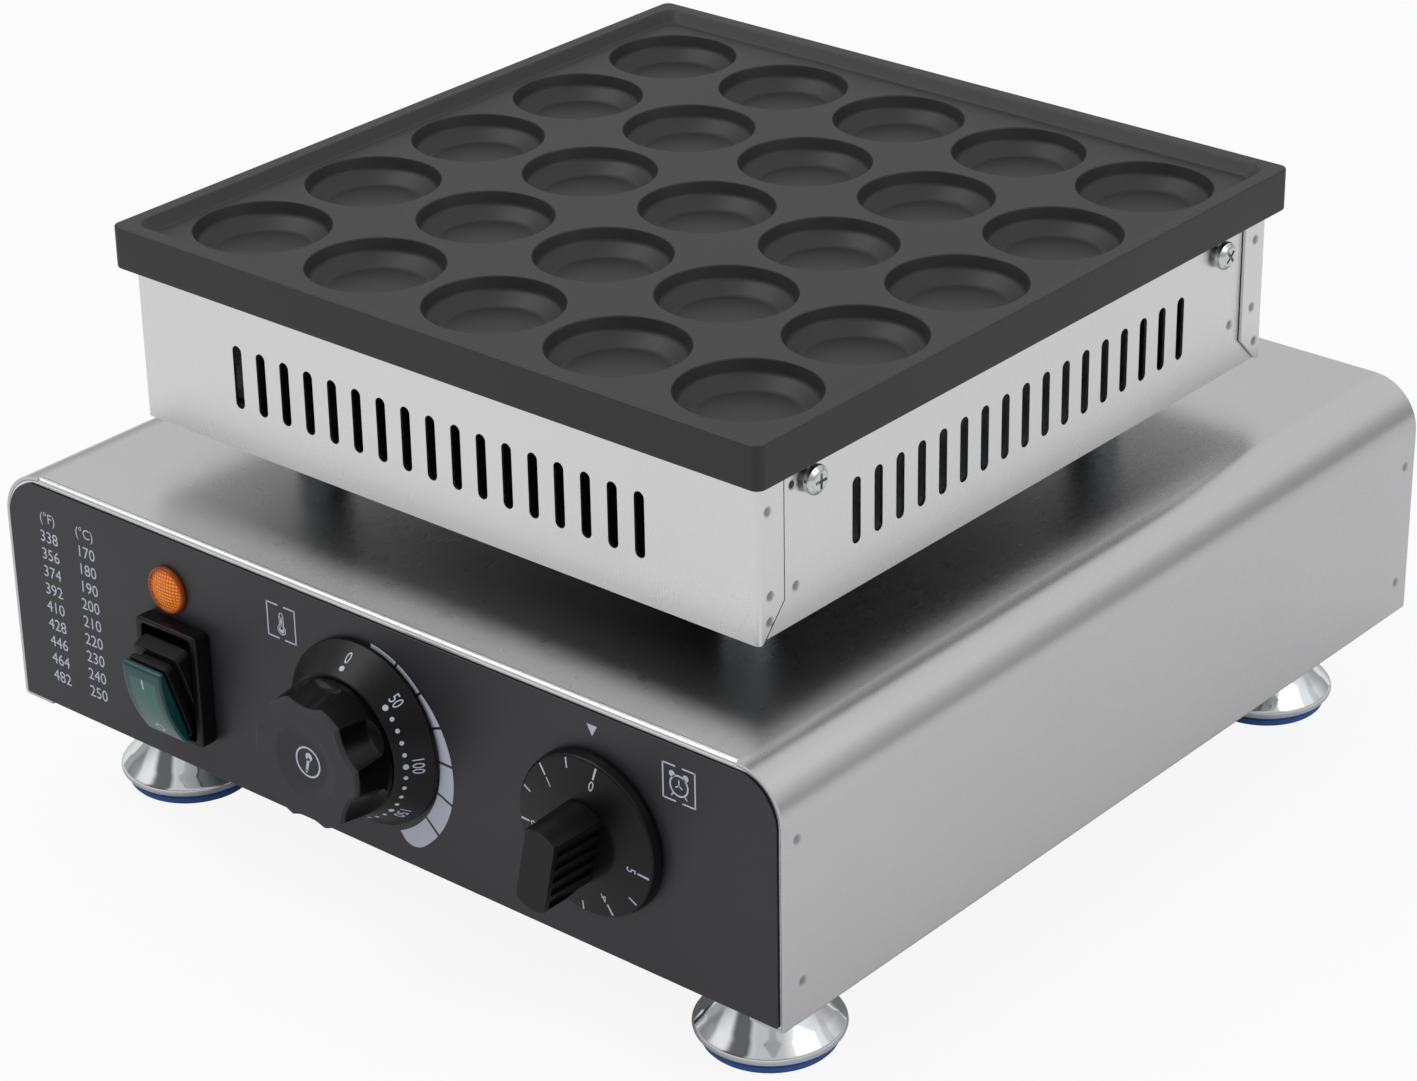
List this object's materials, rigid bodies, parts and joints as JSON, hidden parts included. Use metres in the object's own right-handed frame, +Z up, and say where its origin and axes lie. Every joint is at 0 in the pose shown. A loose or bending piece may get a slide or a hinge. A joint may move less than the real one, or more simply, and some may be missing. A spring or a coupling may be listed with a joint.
{
  "type": "mini pancake maker",
  "caption": "Table-top mini pancake maker: coated plate with round wells on a vented steel housing, above a steel control base on bell feet.",
  "frame": {"origin": "on the table, under the middle of the machine's outline", "axes": "+X to the right seen from the controls, -Y toward the controls, +Z up"},
  "size_m": [0.345, 0.4084, 0.2132],
  "materials": {
    "coated_casting": "matt dark grey non-stick coating on a casting",
    "brushed_sheet": "brushed stainless sheet",
    "zinc_plate": "dull zinc-plated steel",
    "heater_tube": "dull heat-darkened tube",
    "screw_steel": "bright steel fastener",
    "plated_cup": "bright plated steel",
    "sensor_copper": "drawn copper alloy",
    "printed_overlay": "dark grey-violet film",
    "black_plastic": "satin black moulding",
    "boot_rubber": "soft black rubber",
    "green_rocker": "translucent green moulding",
    "amber_lens": "amber prismatic lens",
    "white_ceramic": "off-white block",
    "blue_rubber": "blue rubber pad",
    "wire_sleeving": "braided heatproof sleeving"
  },
  "bodies": {
    "machine": {"baking_plate": "coated_casting", "heating_element": "heater_tube", "element_clamp": "zinc_plate", "clamp_bolt": "screw_steel", "sensor_bulb_and_capillary": "sensor_copper", "heat_shield": "zinc_plate", "housing_front": "brushed_sheet", "housing_rear": "brushed_sheet", "housing_left": "brushed_sheet", "housing_right": "brushed_sheet", "housing_floor": "brushed_sheet", "wire_sleeve": "black_plastic", "base_shell": "brushed_sheet", "front_panel": "brushed_sheet", "control_overlay": "printed_overlay", "rear_panel": "brushed_sheet", "bottom_plate": "zinc_plate", "thermostat_body": "zinc_plate", "timer_body": "zinc_plate", "switch_frame": "black_plastic", "switch_body": "black_plastic", "pilot_lens": "amber_lens", "pilot_body": "black_plastic", "terminal_block": "white_ceramic", "gland_body": "black_plastic", "gland_cap": "black_plastic", "heater_lead_left": "wire_sleeving", "heater_lead_right": "wire_sleeving", "plate_screw_left_front": "screw_steel", "pillar_left_front": "zinc_plate", "pillar_bolt_left_front": "screw_steel", "bottom_screw_left_front": "screw_steel", "plate_screw_left_rear": "screw_steel", "pillar_left_rear": "zinc_plate", "pillar_bolt_left_rear": "screw_steel", "bottom_screw_left_rear": "screw_steel", "plate_screw_right_front": "screw_steel", "pillar_right_front": "zinc_plate", "pillar_bolt_right_front": "screw_steel", "bottom_screw_right_front": "screw_steel", "plate_screw_right_rear": "screw_steel", "pillar_right_rear": "zinc_plate", "pillar_bolt_right_rear": "screw_steel", "bottom_screw_right_rear": "screw_steel"},
    "thermostat_control": {"thermostat_shaft": "zinc_plate", "thermostat_dial": "black_plastic", "thermostat_knob": "black_plastic"},
    "timer_control": {"timer_shaft": "zinc_plate", "timer_knob": "black_plastic"},
    "rocker": {"switch_rocker": "green_rocker", "switch_boot": "boot_rubber"},
    "levelling_foot_left_front": {"foot_left_front": "plated_cup", "foot_pad_left_front": "blue_rubber"},
    "levelling_foot_left_rear": {"foot_left_rear": "plated_cup", "foot_pad_left_rear": "blue_rubber"},
    "levelling_foot_right_front": {"foot_right_front": "plated_cup", "foot_pad_right_front": "blue_rubber"},
    "levelling_foot_right_rear": {"foot_right_rear": "plated_cup", "foot_pad_right_rear": "blue_rubber"}
  },
  "joints": [
    {"name": "thermostat_turn", "type": "hinge", "parent": "machine", "child": "thermostat_control", "pos_m": [0, -0.17575, 0.0828], "axis": [0, 1, 0], "range_deg": [0, 270]},
    {"name": "timer_turn", "type": "hinge", "parent": "machine", "child": "timer_control", "pos_m": [0.0983, -0.17575, 0.082], "axis": [0, 1, 0], "range_deg": [-12, 258]},
    {"name": "power_rocker", "type": "hinge", "parent": "machine", "child": "rocker", "pos_m": [-0.0872, -0.17575, 0.0732], "axis": [-1, 0, 0], "range_deg": [0, 36]},
    {"name": "foot_turn_left_front", "type": "hinge", "parent": "machine", "child": "levelling_foot_left_front", "pos_m": [-0.1335, -0.13495, 0], "axis": [0, 0, 1], "range_deg": [-720, 720]},
    {"name": "foot_turn_left_rear", "type": "hinge", "parent": "machine", "child": "levelling_foot_left_rear", "pos_m": [-0.1335, 0.14965, 0], "axis": [0, 0, 1], "range_deg": [-720, 720]},
    {"name": "foot_turn_right_front", "type": "hinge", "parent": "machine", "child": "levelling_foot_right_front", "pos_m": [0.1335, -0.13495, 0], "axis": [0, 0, 1], "range_deg": [-720, 720]},
    {"name": "foot_turn_right_rear", "type": "hinge", "parent": "machine", "child": "levelling_foot_right_rear", "pos_m": [0.1335, 0.14965, 0], "axis": [0, 0, 1], "range_deg": [-720, 720]}
  ]
}
